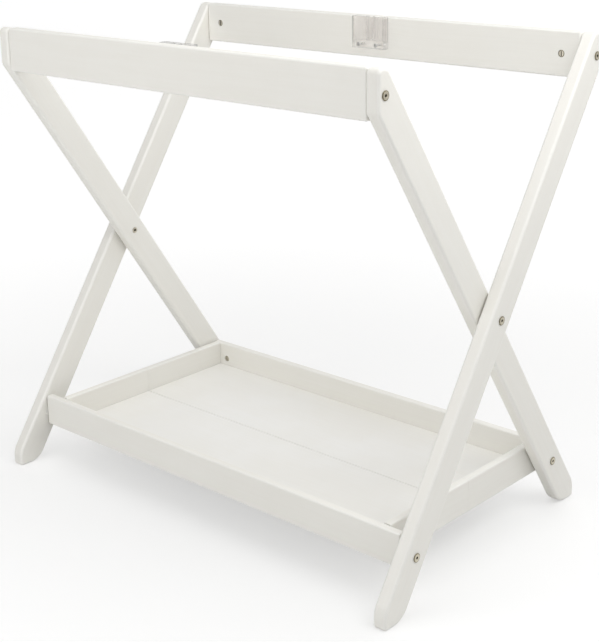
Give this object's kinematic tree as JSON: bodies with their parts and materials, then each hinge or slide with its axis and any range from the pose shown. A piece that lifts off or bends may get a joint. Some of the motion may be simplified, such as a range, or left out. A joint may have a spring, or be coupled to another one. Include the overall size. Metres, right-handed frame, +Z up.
{
  "type": "bassinet stand",
  "caption": "Folding white wooden stand with crossing legs, clear rail sockets that hold a bassinet, and a storage shelf that folds in the middle.",
  "frame": {"origin": "centre of the bounding box's base, on the floor midway between the two leg crossings", "axes": "+X along the rails towards the right when facing the front rail, +Y from the front rail to the back rail, +Z up"},
  "size_m": [0.803, 0.503, 0.731],
  "materials": {
    "painted_wood": "satin",
    "beech_dowel": "matte",
    "antique_brass": "satin",
    "zinc_plated_steel": "satin",
    "clear_plastic": "gloss",
    "white_nylon": "matte"
  },
  "bodies": {
    "outer_frame": {"back_rail": "painted_wood", "back_rail_barrel_nut_left": "antique_brass", "back_rail_barrel_nut_right": "antique_brass", "back_rail_bolt_left": "antique_brass", "back_rail_bolt_right": "antique_brass", "back_rail_dowel_left": "beech_dowel", "back_rail_dowel_right": "beech_dowel", "back_socket": "clear_plastic", "back_socket_screw_left": "zinc_plated_steel", "back_socket_screw_right": "zinc_plated_steel", "crossing_bolt_left": "antique_brass", "crossing_bolt_right": "antique_brass", "crossing_sleeve_nut_left": "antique_brass", "crossing_sleeve_nut_right": "antique_brass", "crossing_washer_left": "white_nylon", "crossing_washer_right": "white_nylon", "outer_leg_left": "painted_wood", "outer_leg_right": "painted_wood"},
    "inner_frame": {"back_pivot_bolt_left": "antique_brass", "back_pivot_bolt_right": "antique_brass", "front_rail": "painted_wood", "front_rail_barrel_nut_left": "antique_brass", "front_rail_barrel_nut_right": "antique_brass", "front_rail_bolt_left": "antique_brass", "front_rail_bolt_right": "antique_brass", "front_rail_dowel_left": "beech_dowel", "front_rail_dowel_right": "beech_dowel", "front_socket": "clear_plastic", "front_socket_screw_left": "zinc_plated_steel", "front_socket_screw_right": "zinc_plated_steel", "inner_leg_left": "painted_wood", "inner_leg_right": "painted_wood"},
    "shelf_front_half": {"front_pivot_bolt_left": "antique_brass", "front_pivot_bolt_right": "antique_brass", "front_pivot_washer_left": "white_nylon", "front_pivot_washer_right": "white_nylon", "shelf_front_barrel_nut_left": "antique_brass", "shelf_front_barrel_nut_right": "antique_brass", "shelf_front_batten": "painted_wood", "shelf_front_board": "painted_wood", "shelf_front_end_left": "painted_wood", "shelf_front_end_right": "painted_wood", "shelf_front_floor": "painted_wood", "shelf_hinge_left_front_leaf": "zinc_plated_steel", "shelf_hinge_left_pin": "zinc_plated_steel", "shelf_hinge_right_front_leaf": "zinc_plated_steel", "shelf_hinge_right_pin": "zinc_plated_steel"},
    "shelf_back_half": {"back_pivot_washer_left": "white_nylon", "back_pivot_washer_right": "white_nylon", "shelf_back_barrel_nut_left": "antique_brass", "shelf_back_barrel_nut_right": "antique_brass", "shelf_back_batten": "painted_wood", "shelf_back_board": "painted_wood", "shelf_back_end_left": "painted_wood", "shelf_back_end_right": "painted_wood", "shelf_back_floor": "painted_wood", "shelf_hinge_left_back_leaf": "zinc_plated_steel", "shelf_hinge_right_back_leaf": "zinc_plated_steel"}
  },
  "joints": [
    {"name": "leg_fold", "type": "hinge", "parent": "outer_frame", "child": "inner_frame", "pos_m": [0, 0, 0.362], "axis": [-1, 0, 0], "range_deg": [0, 56.4]},
    {"name": "shelf_front_lift", "type": "hinge", "parent": "outer_frame", "child": "shelf_front_half", "pos_m": [0, -0.18625, 0.08167], "axis": [1, 0, 0], "range_deg": [0, 59.75]},
    {"name": "shelf_middle_fold", "type": "hinge", "parent": "shelf_front_half", "child": "shelf_back_half", "pos_m": [0, 0, 0.05667], "axis": [-1, 0, 0], "range_deg": [0, 175.89]}
  ],
  "couplings": [
    {"joint": "shelf_front_lift", "follows": "leg_fold", "ratio": 1.0592},
    {"joint": "shelf_middle_fold", "follows": "leg_fold", "ratio": 3.1185}
  ]
}
